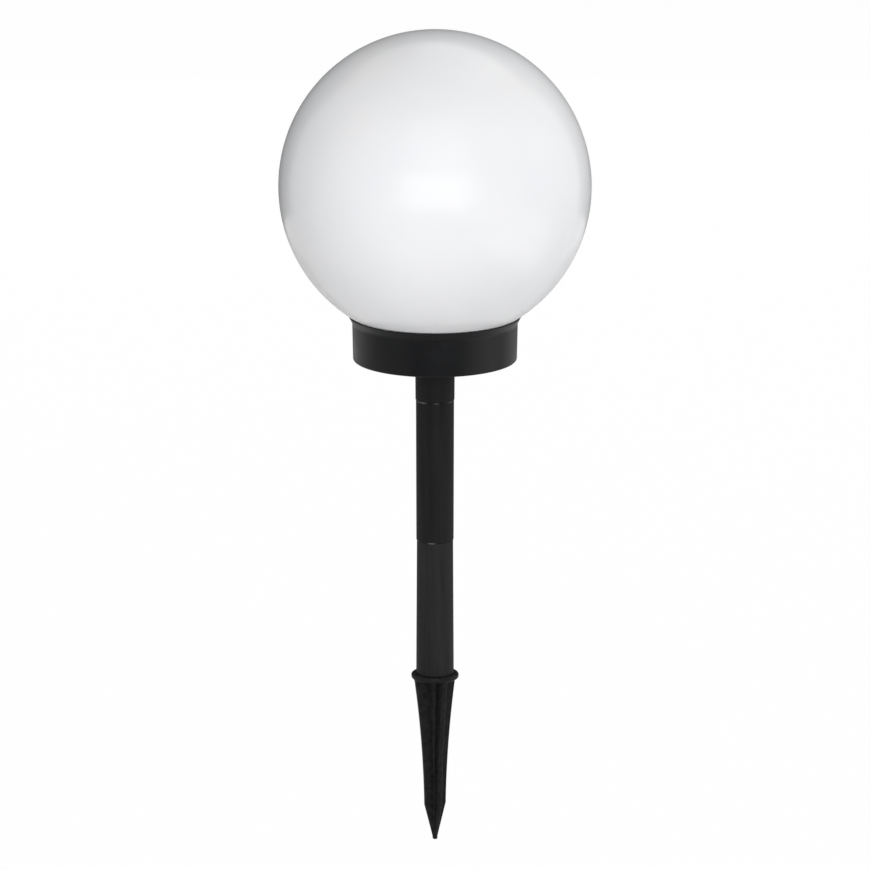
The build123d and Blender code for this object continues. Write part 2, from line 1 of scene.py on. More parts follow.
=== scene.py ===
import math
import bmesh
import bpy
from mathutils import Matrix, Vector


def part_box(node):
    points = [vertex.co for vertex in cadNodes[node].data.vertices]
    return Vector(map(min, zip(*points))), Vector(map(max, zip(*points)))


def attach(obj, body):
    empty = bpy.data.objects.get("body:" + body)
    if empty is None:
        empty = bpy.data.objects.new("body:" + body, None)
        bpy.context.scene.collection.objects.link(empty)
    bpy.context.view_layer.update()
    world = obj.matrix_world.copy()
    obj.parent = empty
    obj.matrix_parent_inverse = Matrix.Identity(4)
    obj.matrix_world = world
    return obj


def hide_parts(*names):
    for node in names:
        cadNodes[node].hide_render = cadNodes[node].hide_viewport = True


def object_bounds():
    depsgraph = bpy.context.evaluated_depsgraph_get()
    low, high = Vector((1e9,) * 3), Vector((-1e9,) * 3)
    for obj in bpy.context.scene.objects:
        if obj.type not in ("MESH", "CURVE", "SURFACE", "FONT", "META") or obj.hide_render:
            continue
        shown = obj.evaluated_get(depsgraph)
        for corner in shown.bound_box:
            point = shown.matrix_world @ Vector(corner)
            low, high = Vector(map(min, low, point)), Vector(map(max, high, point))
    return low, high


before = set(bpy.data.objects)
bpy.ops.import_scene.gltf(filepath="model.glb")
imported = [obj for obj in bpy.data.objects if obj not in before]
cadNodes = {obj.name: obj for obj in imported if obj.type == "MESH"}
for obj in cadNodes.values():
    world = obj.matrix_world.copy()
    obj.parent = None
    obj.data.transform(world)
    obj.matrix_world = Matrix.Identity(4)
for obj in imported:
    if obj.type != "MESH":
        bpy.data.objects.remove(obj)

scene = bpy.context.scene
cadLow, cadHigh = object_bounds()
mm = 0.001
mergeGap = 1e-7  # metres, points nearer than this become one
offAxis = 1e-6  # millimetres, a smaller radius is on the axis


# Finishes

noiseSpan = (0.3, 0.7)  # most values of a noise lie between these
fullSpan = (0.0, 1.0)
metal, plastic = (1, 1, 1), (0, 0, 0)  # marks on a ramp that feeds Metallic


def newFinish(name):
    finish = bpy.data.materials.new(name)
    finish.use_nodes = True
    tree = finish.node_tree
    return finish, tree, tree.nodes["Principled BSDF"]


def setInputs(node, values):  # a value is a plain one or the output of another node
    for socket, value in values.items():
        if isinstance(value, bpy.types.NodeSocket):
            node.id_data.links.new(value, node.inputs[socket])
        else:
            node.inputs[socket].default_value = value
    return node


def addNode(tree, kind, values=None, **settings):
    node = tree.nodes.new(kind)
    for key, value in settings.items():
        setattr(node, key, value)
    return setInputs(node, values or {})


def addMath(tree, operation, *values):
    return addNode(tree, "ShaderNodeMath", dict(enumerate(values)), operation=operation).outputs["Value"]


def placeMap(tree, stretch=(1, 1, 1)):
    coords = addNode(tree, "ShaderNodeTexCoord")
    mapping = addNode(tree, "ShaderNodeMapping", {"Vector": coords.outputs["Object"], "Scale": stretch})
    return mapping.outputs["Vector"]


def placeAlong(tree, axis):
    return addNode(tree, "ShaderNodeSeparateXYZ", {"Vector": placeMap(tree)}).outputs[axis]


def addNoise(tree, scale, detail=3.0, stretch=(1, 1, 1)):
    noise = addNode(tree, "ShaderNodeTexNoise",
                    {"Vector": placeMap(tree, stretch), "Scale": scale, "Detail": detail})
    return noise.outputs["Fac"]


def addRange(tree, source, span, result):
    node = addNode(tree, "ShaderNodeMapRange", {"Value": source, "From Min": span[0], "From Max": span[1],
                                                "To Min": result[0], "To Max": result[1]})
    return node.outputs["Result"]


def addRamp(tree, source, stops):
    ramp = addNode(tree, "ShaderNodeValToRGB", {"Fac": source})
    marks = ramp.color_ramp.elements
    while len(marks) < len(stops):
        marks.new(0.5)
    for mark, (place, colour) in zip(marks, stops):
        mark.position = place
        mark.color = (*colour, 1)
    return ramp.outputs["Color"]


def addBlend(tree, source, first, second, span=noiseSpan):
    return addRamp(tree, source, list(zip(span, (first, second))))


def addBump(tree, height, strength, distance, under=None):
    bump = addNode(tree, "ShaderNodeBump", {"Height": height, "Strength": strength, "Distance": distance})
    if under is not None:
        setInputs(bump, {"Normal": under})
    return bump.outputs["Normal"]


def toSurface(tree, shaded):
    setInputs(tree.nodes["Material Output"], {"Surface": shaded})


def mixToSurface(tree, share, under, over):
    toSurface(tree, addNode(tree, "ShaderNodeMixShader", {0: share, 1: under, 2: over}).outputs["Shader"])


def addGlintAndWear(tree, colour, height, look):  # painted glints of the joint edge together with rubbed wear: pale patches in a thin band at one height
    near = addMath(tree, "COMPARE", placeAlong(tree, "Z"), height, look["glintAndWearWidth"])
    patches = addRange(tree, addNoise(tree, look["glintAndWearScale"], detail=2.0), look["glintAndWearSpan"], fullSpan)
    mix = addNode(tree, "ShaderNodeMix", data_type="RGBA")
    factor, under, over = [socket for socket in mix.inputs if socket.enabled]
    tree.links.new(addMath(tree, "MULTIPLY", near, patches), factor)
    tree.links.new(colour, under)
    over.default_value = (*look["glintAndWearColour"], 1)
    return [socket for socket in mix.outputs if socket.enabled][0]


def mouldedPlastic(name, look):
    finish, tree, shader = newFinish(name)
    cloud = addNoise(tree, look["cloudScale"], detail=4.0, stretch=look["cloudStretch"])
    grain = addNoise(tree, look["grainScale"], detail=2.0)
    colour = addBlend(tree, cloud, look["dark"], look["light"])
    # pale bands at the joints: painted glints, which also stand for rubbed wear
    for height in look["glintAndWearAt"]:
        colour = addGlintAndWear(tree, colour, height, look)
    waves = addBump(tree, cloud, look["waveStrength"], look["waveDepth"])
    setInputs(shader, {
        "Base Color": colour,
        "Roughness": addRange(tree, cloud, noiseSpan, look["roughness"]),
        "Normal": addBump(tree, grain, look["grainStrength"], look["grainDepth"], waves),
        "Specular IOR Level": look["specular"]})
    return finish


baseLook = {"dark": (0.0024, 0.0026, 0.0032), "light": (0.0040, 0.0043, 0.0052), "roughness": (0.28, 0.36),
            "cloudScale": 60.0, "cloudStretch": (1, 1, 1), "waveStrength": 0.12, "waveDepth": 0.0003,
            "grainScale": 2600.0, "grainStrength": 0.10, "grainDepth": 0.00006, "specular": 0.1, "glintAndWearAt": ()}
cupLook = {**baseLook, "specular": 0.15}
poleLook = {**baseLook, "dark": (0.0050, 0.0050, 0.0052), "light": (0.0124, 0.0124, 0.0128),
            "roughness": (0.58, 0.70), "cloudScale": 220.0, "cloudStretch": (1, 1, 0.08),
            # the two joint heights get the pale bands of painted glint and rubbed wear
            "glintAndWearAt": (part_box("upper_tube")[0].z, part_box("pole_coupler")[0].z), "glintAndWearWidth": 0.0004,
            "glintAndWearScale": 160.0, "glintAndWearSpan": (0.47, 0.6), "glintAndWearColour": (0.16, 0.16, 0.165)}
# painted light: the lower tube is the pole's own plastic, made lighter to stand for the light that falls on it
footTubePaintedLitLook = {**poleLook, "dark": (0.0104, 0.0104, 0.0107), "light": (0.0212, 0.0212, 0.0218)}
spikeLook = {**baseLook, "dark": (0.0030, 0.0030, 0.0032), "light": (0.0135, 0.0135, 0.0141),
             "roughness": (0.42, 0.56), "cloudScale": 320.0, "grainScale": 1800.0, "grainStrength": 0.16}
deckLook = {**baseLook, "dark": (0.0085, 0.0085, 0.0090), "light": (0.0130, 0.0130, 0.0136),
            "roughness": (0.42, 0.54), "specular": 0.25, "cloudScale": 180.0}
knobLook = {**baseLook, "dark": (0.02, 0.02, 0.021), "light": (0.03, 0.03, 0.031), "grainScale": 5000.0}
gasketLook = {**baseLook, "roughness": (0.6, 0.75), "dark": (0.012, 0.012, 0.012), "light": (0.02, 0.02, 0.02)}
chipLook = {**baseLook, "roughness": (0.5, 0.62), "grainScale": 6000.0}
wireLook = {**baseLook, "roughness": (0.3, 0.42), "specular": 0.45, "cloudScale": 500.0, "grainStrength": 0.03}
redLook = {**wireLook, "dark": (0.36, 0.012, 0.012), "light": (0.5, 0.02, 0.018)}
blackLook = {**wireLook, "dark": (0.012, 0.012, 0.012), "light": (0.02, 0.02, 0.02)}
chokeLook = {**wireLook, "dark": (0.06, 0.24, 0.13), "light": (0.09, 0.33, 0.18)}
phosphorLook = {**wireLook, "dark": (0.72, 0.5, 0.06), "light": (0.85, 0.62, 0.1), "roughness": (0.5, 0.6)}

opalLook = {"cool": (0.854, 0.862, 0.883), "warm": (0.883, 0.885, 0.895), "cloudScale": 14.0,
            "cloudSpan": (0.35, 0.65), "speckScale": 900.0, "roughness": (0.17, 0.21),
            "waveStrength": 0.10, "waveDepth": 0.0006, "shine": 1.3}


def opalPlastic(name, look):
    finish, tree, shader = newFinish(name)
    cloud = addNoise(tree, look["cloudScale"], detail=2.0)
    speck = addNoise(tree, look["speckScale"], detail=2.0)
    setInputs(shader, {
        "Base Color": addBlend(tree, cloud, look["cool"], look["warm"], look["cloudSpan"]),
        "Roughness": addRange(tree, speck, noiseSpan, look["roughness"]),
        "Normal": addBump(tree, cloud, look["waveStrength"], look["waveDepth"]),
        "IOR": look["shine"]})
    return finish


metalLook = {"dark": (0.52, 0.52, 0.5), "light": (0.7, 0.7, 0.68), "stainScale": 900.0,
             "stainStrength": 0.1, "stainDepth": 0.00005, "roughness": (0.24, 0.4)}
screwLook = {**metalLook, "dark": (0.46, 0.46, 0.45), "light": (0.62, 0.62, 0.6), "stainScale": 2400.0,
             "roughness": (0.22, 0.36)}
fingerLook = {**metalLook, "dark": (0.55, 0.56, 0.58), "light": (0.66, 0.67, 0.69), "roughness": (0.35, 0.5)}


def platedMetal(name, look):
    finish, tree, shader = newFinish(name)
    stain = addNoise(tree, look["stainScale"], detail=4.0)
    setInputs(shader, {
        "Base Color": addBlend(tree, stain, look["dark"], look["light"]),
        "Roughness": addRange(tree, stain, noiseSpan, look["roughness"]),
        "Normal": addBump(tree, stain, look["stainStrength"], look["stainDepth"]),
        "Metallic": 1.0})
    return finish


cellLook = {"dark": (0.012, 0.030, 0.140), "light": (0.045, 0.085, 0.330), "crystalScale": 420.0,
            "roughness": (0.22, 0.4)}


def solarCell(name, look):
    finish, tree, shader = newFinish(name)
    crystal = addNode(tree, "ShaderNodeTexVoronoi", {"Vector": placeMap(tree), "Scale": look["crystalScale"]})
    shade = addNode(tree, "ShaderNodeSeparateColor", {"Color": crystal.outputs["Color"]})
    setInputs(shader, {
        "Base Color": addBlend(tree, shade.outputs["Red"], look["dark"], look["light"], fullSpan),
        "Roughness": addRange(tree, shade.outputs["Green"], fullSpan, look["roughness"])})
    return finish


boardLook = {"mask": (0.012, 0.11, 0.04), "track": (0.03, 0.2, 0.075), "trackScale": 520.0, "trackWidth": 0.06,
             "trackSoft": 0.2, "patch": (0.25, 0.25, 0.25), "trackSpan": (0.1, 0.9), "trackStrength": 0.3,
             "trackDepth": 0.00004, "hazeScale": 1500.0, "roughness": (0.3, 0.42)}
panelLook = {**boardLook, "mask": (0.012, 0.013, 0.02), "track": (0.022, 0.024, 0.034), "trackScale": 300.0}


def boardLaminate(name, look):
    finish, tree, shader = newFinish(name)
    bricks = addNode(tree, "ShaderNodeTexBrick", {
        "Vector": placeMap(tree), "Scale": look["trackScale"], "Mortar Size": look["trackWidth"],
        "Mortar Smooth": look["trackSoft"], "Color1": (0, 0, 0, 1), "Color2": (*look["patch"], 1),
        "Mortar": (1, 1, 1, 1)})
    tracks = bricks.outputs["Color"]
    setInputs(shader, {
        "Base Color": addBlend(tree, tracks, look["mask"], look["track"], look["trackSpan"]),
        "Roughness": addRange(tree, addNoise(tree, look["hazeScale"]), noiseSpan, look["roughness"]),
        "Normal": addBump(tree, tracks, look["trackStrength"], look["trackDepth"])})
    return finish


resinLook = {"tint": (0.96, 0.98, 1.0), "roughness": (0.03, 0.08), "hazeScale": 700.0, "shine": 1.45}
lensLook = {**resinLook, "tint": (0.98, 0.96, 0.9), "roughness": (0.02, 0.05), "shine": 1.5}


def clearCast(name, look):
    finish, tree, shader = newFinish(name)
    tree.nodes.remove(shader)
    through = addNode(tree, "ShaderNodeBsdfTransparent", {"Color": (*look["tint"], 1)})
    haze = addRange(tree, addNoise(tree, look["hazeScale"]), noiseSpan, look["roughness"])
    gloss = addNode(tree, "ShaderNodeBsdfGlossy", {"Color": (1, 1, 1, 1), "Roughness": haze})
    edge = addNode(tree, "ShaderNodeFresnel", {"IOR": look["shine"]})
    mixToSurface(tree, edge.outputs["Fac"], through.outputs["BSDF"], gloss.outputs["BSDF"])
    return finish


def sleeved(name, look):
    finish, tree, shader = newFinish(name)
    low, high = look["colours"][0][0], look["colours"][-1][0]
    along = addRange(tree, placeAlong(tree, look["axis"]), (low, high), fullSpan)
    for socket, marks in (("Base Color", look["colours"]), ("Metallic", look["metal"])):
        bands = addRamp(tree, along, [((place - low) / (high - low), colour) for place, colour in marks])
        bands.node.color_ramp.interpolation = "CONSTANT"
        setInputs(shader, {socket: bands})
    haze = addNoise(tree, look["hazeScale"])
    setInputs(shader, {"Roughness": addRange(tree, haze, noiseSpan, look["roughness"])})
    return finish


battery = {  # bands along X, places in metres
    "start": -0.0285, "shoulder": -0.0258, "ringStart": -0.0225, "ringEnd": -0.0205, "foot": 0.0222,
    "end": 0.0228, "sleeve": (0.02, 0.13, 0.055), "ring": (0.5, 0.5, 0.48), "steel": (0.6, 0.6, 0.58),
}
batteryLook = {
    "axis": "X", "hazeScale": 400.0, "roughness": (0.28, 0.4),
    "colours": [(battery["start"], battery["steel"]), (battery["shoulder"], battery["sleeve"]),
                (battery["ringStart"], battery["ring"]), (battery["ringEnd"], battery["sleeve"]),
                (battery["foot"], battery["steel"]), (battery["end"], battery["steel"])],
    "metal": [(battery["start"], metal), (battery["shoulder"], plastic), (battery["foot"], metal)],
}
can = {"sleeve": (0.012, 0.02, 0.09), "top": (0.62, 0.62, 0.63), "topDepth": 0.0002}
canFoot, canTop = (corner.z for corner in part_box("capacitor"))
canRim = canTop - can["topDepth"]
canLook = {
    "axis": "Z", "hazeScale": 400.0, "roughness": (0.25, 0.4),
    "colours": [(canFoot, can["sleeve"]), (canRim, can["top"]), (canTop, can["top"])],
    "metal": [(canFoot, plastic), (canRim, metal)],
}

finishLooks = {
    mouldedPlastic: {
        "basePlastic": cupLook, "polePlastic": poleLook, "footTubePaintedLitPlastic": footTubePaintedLitLook,
        "spikePlastic": spikeLook, "deckPlastic": deckLook, "knobPlastic": knobLook,
        "gasketRubber": gasketLook, "chipBlack": chipLook, "redWire": redLook, "blackWire": blackLook,
        "chokeLacquer": chokeLook, "phosphor": phosphorLook},
    opalPlastic: {"opalPlastic": opalLook},
    platedMetal: {"tinnedMetal": metalLook, "screwZinc": screwLook, "cellSilver": fingerLook},
    solarCell: {"solarCell": cellLook},
    boardLaminate: {"greenBoard": boardLook, "panelBoard": panelLook},
    clearCast: {"clearResin": resinLook, "ledLens": lensLook},
    sleeved: {"batterySleeve": batteryLook, "capacitorCan": canLook},
}
finishes = {name: make(name, look) for make, looks in finishLooks.items() for name, look in looks.items()}
nodeFinishes = {
    "ground_spike": "spikePlastic", "lower_tube": "footTubePaintedLitPlastic", "upper_tube": "polePlastic",
    "pole_coupler": "polePlastic", "base_cup": "basePlastic", "globe": "opalPlastic",
    "globe_gasket": "gasketRubber", "deck_plate": "deckPlastic", "deck_screws": "screwZinc",
    "solar_panel_board": "panelBoard", "solar_cells": "solarCell", "solar_panel_cover": "clearResin",
    "led_lenses": "ledLens", "led_pins": "tinnedMetal", "led_boards": "greenBoard",
    "circuit_board": "greenBoard", "board_screws": "screwZinc", "driver_chip": "chipBlack",
    "inductor": "chokeLacquer", "capacitor": "capacitorCan", "switch_housing": "tinnedMetal",
    "switch_knob": "knobPlastic", "battery_cell": "batterySleeve", "battery_contact_plate": "tinnedMetal",
    "battery_spring_plate": "tinnedMetal", "battery_spring": "tinnedMetal", "battery_cover": "deckPlastic",
    "battery_cover_screws": "screwZinc", "panel_lead_red": "redWire", "panel_lead_black": "blackWire",
    "battery_lead_red": "redWire", "battery_lead_black": "blackWire", "led_leads_red": "redWire",
    "led_leads_black": "blackWire",
}
for nodeName, finishName in nodeFinishes.items():
    cadNodes[nodeName].data.materials.clear()
    cadNodes[nodeName].data.materials.append(finishes[finishName])
print("finishes:", len(finishes))


# Shapes, all measures in millimetres

def roundedLoop(corners, steps=5):  # a corner is its radius, height and rounding
    loop = []
    for i, (radius, height, rounding) in enumerate(corners):
        here = Vector((radius, height))
        if not rounding:
            loop.append(here)
            continue
        before = (Vector(corners[i - 1][:2]) - here).normalized()
        after = (Vector(corners[(i + 1) % len(corners)][:2]) - here).normalized()
        half = before.angle(after) / 2
        centre = here + (before + after).normalized() * (rounding / math.sin(half))
        reach = rounding / math.tan(half)
        first, last = here + before * reach - centre, here + after * reach - centre
        for k in range(steps + 1):
            loop.append(centre + first.lerp(last, k / steps).normalized() * rounding)
    return loop


def softShade(mesh, angle=40.0):
    mesh.shade_smooth()
    mesh.set_sharp_from_angle(angle=math.radians(angle))


def closeMesh(name, bm):
    bmesh.ops.remove_doubles(bm, verts=bm.verts, dist=mergeGap)
    bmesh.ops.recalc_face_normals(bm, faces=bm.faces)
    mesh = bpy.data.meshes.new(name)
    bm.to_mesh(mesh)
    bm.free()
    softShade(mesh)
    return mesh


def turned(name, loop, segments=160, seam=0.0, seamFrom=0.0):
    bm = bmesh.new()
    rings = []
    for k in range(segments):
        angle = 2 * math.pi * k / segments
        ridge = seam if k % (segments // 2) == 0 else 0.0  # parting line of the two mould halves
        ring = []
        for radius, height in loop:
            out = radius + (ridge if radius > seamFrom else 0.0)
            ring.append(bm.verts.new((out * math.cos(angle) * mm, out * math.sin(angle) * mm, height * mm)))
        rings.append(ring)
    for k in range(segments):
        here, there = rings[k], rings[(k + 1) % segments]
        for i in range(len(loop)):
            j = (i + 1) % len(loop)
            if loop[i].x > offAxis or loop[j].x > offAxis:
                bm.faces.new((here[i], there[i], there[j], here[j]))
    return closeMesh(name, bm)


def skinRings(bm, rings):  # sides from ring to ring, and a cap at each end
    for here, there in zip(rings, rings[1:]):
        for i in range(len(here)):
            j = (i + 1) % len(here)
            bm.faces.new((here[i], there[i], there[j], here[j]))
    bm.faces.new(rings[0])
    bm.faces.new(rings[-1][::-1])


def boxMesh(name, size, centre=(0, 0, 0), rounding=0.0):
    bm = bmesh.new()
    bmesh.ops.create_cube(bm, size=1.0)
    for vert in bm.verts:
        vert.co = Vector([(vert.co[i] * size[i] + centre[i]) * mm for i in range(3)])
    if rounding:
        bmesh.ops.bevel(bm, geom=bm.edges[:], offset=rounding * mm, segments=3, affect="EDGES", profile=0.5)
    return closeMesh(name, bm)


def joinMeshes(name, meshes):
    bm = bmesh.new()
    for mesh in meshes:
        bm.from_mesh(mesh)
    joined = bpy.data.meshes.new(name)
    bm.to_mesh(joined)
    bm.free()
    softShade(joined)
    return joined


def addObject(name, data):
    thing = bpy.data.objects.new(name, data)
    scene.collection.objects.link(thing)
    return thing


def finalMesh(thing):
    return bpy.data.meshes.new_from_object(thing.evaluated_get(bpy.context.evaluated_depsgraph_get()))


def addPiece(name, mesh, finish, body, slotName, *standsFor):
    mesh.materials.clear()
    mesh.materials.append(finishes[finish])
    piece = addObject(name, mesh)
    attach(piece, body)
    if standsFor:
        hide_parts(*standsFor)


# Pole

pole = {"bore": 9.8, "spigot": 9.7, "spigotBore": 7.9, "spigotLength": 24.0, "lead": 1.0, "neckIn": 2.0,
        "neckRound": 0.6, "jointRound": 0.5, "edgeRound": 0.3, "cornerRound": 0.25, "seam": 0.07}
tubes = {
    "lowerTube": {"node": "lower_tube", "finish": "footTubePaintedLitPlastic", "foot": 24.3, "top": 23.3},
    "upperTube": {"node": "upper_tube", "finish": "polePlastic", "foot": 24.0, "top": 24.4},
}


def tubeMesh(name, tube):
    foot, spigotTop = (corner.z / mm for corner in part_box(tube["node"]))
    top = spigotTop - pole["spigotLength"]
    neck = top - pole["neckIn"]
    bore, spigot, spigotBore = pole["bore"], pole["spigot"], pole["spigotBore"]
    edge, joint, neckRound = pole["edgeRound"], pole["jointRound"], pole["neckRound"]
    loop = roundedLoop([
        (bore, foot, edge), (tube["foot"] / 2, foot, joint), (tube["top"] / 2, top, joint),
        (spigot, top, pole["cornerRound"]), (spigot, spigotTop, pole["lead"]), (spigotBore, spigotTop, edge),
        (spigotBore, neck, neckRound), (bore, neck - bore + spigotBore, neckRound),
    ])
    return turned(name, loop, seam=pole["seam"], seamFrom=bore + neckRound)


for pieceName, tube in tubes.items():
    addPiece(pieceName, tubeMesh(pieceName, tube), tube["finish"], tube["node"], "black_plastic", tube["node"])

coupler = {"foot": 25.0, "top": 25.4, "recess": 3.0, "plug": 10.9, "plugBore": 9.0, "socketSpare": 1.5,
           "socketStep": 0.8, "seamIn": 0.5}


def couplerMesh(name):
    low, high = (corner.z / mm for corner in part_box("pole_coupler"))
    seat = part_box("base_cup")[0].z / mm + coupler["recess"]
    socketEnd = low + pole["spigotLength"] + coupler["socketSpare"]
    bore, plug, plugBore, edge = pole["bore"], coupler["plug"], coupler["plugBore"], pole["edgeRound"]
    loop = roundedLoop([
        (bore, low, edge), (coupler["foot"] / 2, low, pole["jointRound"]), (coupler["top"] / 2, seat, edge),
        (plug, seat, pole["cornerRound"]), (plug, high, pole["lead"]), (plugBore, high, edge),
        (plugBore, socketEnd + coupler["socketStep"], edge), (bore, socketEnd, edge),
    ])
    return turned(name, loop, seam=pole["seam"], seamFrom=plug + coupler["seamIn"])


addPiece("poleCoupler", couplerMesh("poleCoupler"), "polePlastic", "coupler", "black_plastic", "pole_coupler")
print("pole:", len(tubes) + 1, "pieces")


# Ground spike

spike = {"length": 110.0, "point": 24.5, "top": 14.7, "middle": 9.7, "shoulder": 7.5, "tip": 1.1, "turn": 28.0,
         "thickness": 3.0, "tipThickness": 1.7, "edge": 0.8, "coreTop": 4.4, "coreTip": 1.6,
         "coreLength": 97.75, "coreWiden": 0.8, "rootWiden": 0.6, "rootFillet": 1.4,
         "rootDepths": (-0.3, 0.0, 0.25, 0.5, 0.8, 1.1, 1.4), "levels": 64, "tipLevels": 16, "tipCut": 0.4,
         "tipShrink": 0.6, "edgeSteps": 4, "coreSteps": 5,
         "mostHalfOfReach": 0.8, "mostEdgeOfHalf": 0.8, "mostEdgeOfReach": 0.4, "leastCoreOfHalf": 1.75,
         "collar": 15.4, "collarHeight": 3.6, "collarRound": 1.4, "collarCorner": 0.2, "wellRound": 0.4}
straightLength = spike["length"] - spike["point"]


def bladeReach(depth):
    if depth >= straightLength:
        share = (depth - straightLength) / spike["point"]
        return spike["shoulder"] + (spike["tip"] - spike["shoulder"]) * share
    share = max(depth, 0.0) / straightLength
    bow = 4 * spike["middle"] - 3 * spike["top"] - spike["shoulder"]  # curve through top, middle and shoulder
    return spike["top"] + bow * share + (spike["shoulder"] - spike["top"] - bow) * share * share


def bladeSection(depth):
    reach = bladeReach(depth)
    taper = max(0.0, depth - straightLength) / spike["point"]
    root = max(0.0, 1 - max(depth, 0.0) / spike["rootFillet"]) ** 2  # widens into the collar
    half = (spike["thickness"] + (spike["tipThickness"] - spike["thickness"]) * taper) / 2
    half = min(half + spike["rootWiden"] * root, reach * spike["mostHalfOfReach"])
    edge = min(spike["edge"], half * spike["mostEdgeOfHalf"], reach * spike["mostEdgeOfReach"])
    core = spike["coreTop"] + (spike["coreTip"] - spike["coreTop"]) * min(1.0, depth / spike["coreLength"])
    core = max(core + spike["coreWiden"] * root, half * spike["leastCoreOfHalf"])
    lean = math.asin(half / core)
    corner = []
    for k in range(spike["edgeSteps"] + 1):
        bend = k * math.pi / (2 * spike["edgeSteps"])
        corner.append((reach - edge + edge * math.sin(bend), half - edge + edge * math.cos(bend)))
    outline = [(along, -across) for along, across in corner] + corner[::-1]
    points = []
    for arm in range(4):
        way = math.radians(spike["turn"] + 90 * arm)
        for along, across in outline:
            points.append((along * math.cos(way) - across * math.sin(way),
                           along * math.sin(way) + across * math.cos(way)))
        for k in range(spike["coreSteps"] + 1):  # round core up to the next blade
            angle = way + lean + (math.pi / 2 - 2 * lean) * k / spike["coreSteps"]
            points.append((core * math.cos(angle), core * math.sin(angle)))
    return points


def bladesMesh():
    levels, tipLevels, root = spike["levels"], spike["tipLevels"], spike["rootFillet"]
    pointLength, shrink = spike["point"] - spike["tipCut"], spike["tipShrink"]
    depths = list(spike["rootDepths"])
    depths += [root + (straightLength - root) * k / levels for k in range(1, levels + 1)]
    depths += [straightLength + pointLength * k / tipLevels for k in range(1, tipLevels + 1)]
    bm = bmesh.new()
    rings = [[bm.verts.new((x * mm, y * mm, -depth * mm)) for x, y in bladeSection(depth)] for depth in depths]
    rings.append([bm.verts.new((x * shrink * mm, y * shrink * mm, -spike["length"] * mm))
                  for x, y in bladeSection(spike["length"] - spike["tipCut"])])
    skinRings(bm, rings)
    return closeMesh("blades", bm)


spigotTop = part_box("ground_spike")[1].z / mm
collarLoop = roundedLoop([
    (0, 0, 0), (spike["collar"], 0, spike["collarRound"]),
    (spike["collar"], spike["collarHeight"], spike["collarRound"]),
    (pole["spigot"], spike["collarHeight"], spike["collarCorner"]), (pole["spigot"], spigotTop, pole["lead"]),
    (pole["spigotBore"], spigotTop, pole["edgeRound"]),
    (pole["spigotBore"], spike["collarHeight"], spike["wellRound"]), (0, spike["collarHeight"], 0),
], steps=8)
spikeMesh = joinMeshes("groundSpike", [turned("collar", collarLoop), bladesMesh()])
addPiece("groundSpike", spikeMesh, "spikePlastic", "spike", "black_plastic", "ground_spike")
print("spike:", len(spikeMesh.polygons), "faces")


# Copies by geometry nodes

def newTree(name, sockets):
    tree = bpy.data.node_groups.new(name, "GeometryNodeTree")
    tree.interface.new_socket("Geometry", in_out="INPUT", socket_type="NodeSocketGeometry")
    for label, kind in sockets.items():
        tree.interface.new_socket(label, in_out="INPUT", socket_type="NodeSocket" + kind)
    tree.interface.new_socket("Geometry", in_out="OUTPUT", socket_type="NodeSocketGeometry")
    return tree, addNode(tree, "NodeGroupInput"), addNode(tree, "NodeGroupOutput")


def endTree(tree, entry, leave, copies):
    real = addNode(tree, "GeometryNodeRealizeInstances", {"Geometry": copies})
    coat = addNode(tree, "GeometryNodeSetMaterial",
                   {"Geometry": real.outputs["Geometry"], "Material": entry.outputs["Finish"]})
    setInputs(leave, {"Geometry": coat.outputs["Geometry"]})
    return tree


def spinCopies(tree, entry, leave, places, angle):
    copy = addNode(tree, "GeometryNodeObjectInfo", {"Object": entry.outputs["Copy"]})
    spin = addNode(tree, "ShaderNodeCombineXYZ", {"Z": angle})
    copies = addNode(tree, "GeometryNodeInstanceOnPoints", {
        "Points": places, "Instance": copy.outputs["Geometry"], "Rotation": spin.outputs["Vector"]})
    return endTree(tree, entry, leave, copies.outputs["Instances"])


def copiesTree():
    tree, entry, leave = newTree("copiesAtPlaces", {
        "Copy": "Object", "Most Turn": "Float", "Seed": "Int", "Finish": "Material"})
    turn = addNode(tree, "FunctionNodeRandomValue", {"Seed": entry.outputs["Seed"]}, data_type="FLOAT")
    least, most = [socket for socket in turn.inputs if socket.type == "VALUE" and socket.enabled]
    least.default_value = 0.0
    tree.links.new(entry.outputs["Most Turn"], most)
    angle = [socket for socket in turn.outputs if socket.enabled][0]
    return spinCopies(tree, entry, leave, entry.outputs["Geometry"], angle)


def ringTree():
    tree, entry, leave = newTree("copiesInRing", {
        "Copy": "Object", "Count": "Int", "Step": "Float", "Finish": "Material"})
    line = addNode(tree, "GeometryNodeMeshLine", {"Count": entry.outputs["Count"], "Offset": (0, 0, 0)})
    index = addNode(tree, "GeometryNodeInputIndex")
    angle = addMath(tree, "MULTIPLY", index.outputs["Index"], entry.outputs["Step"])
    return spinCopies(tree, entry, leave, line.outputs["Mesh"], angle)


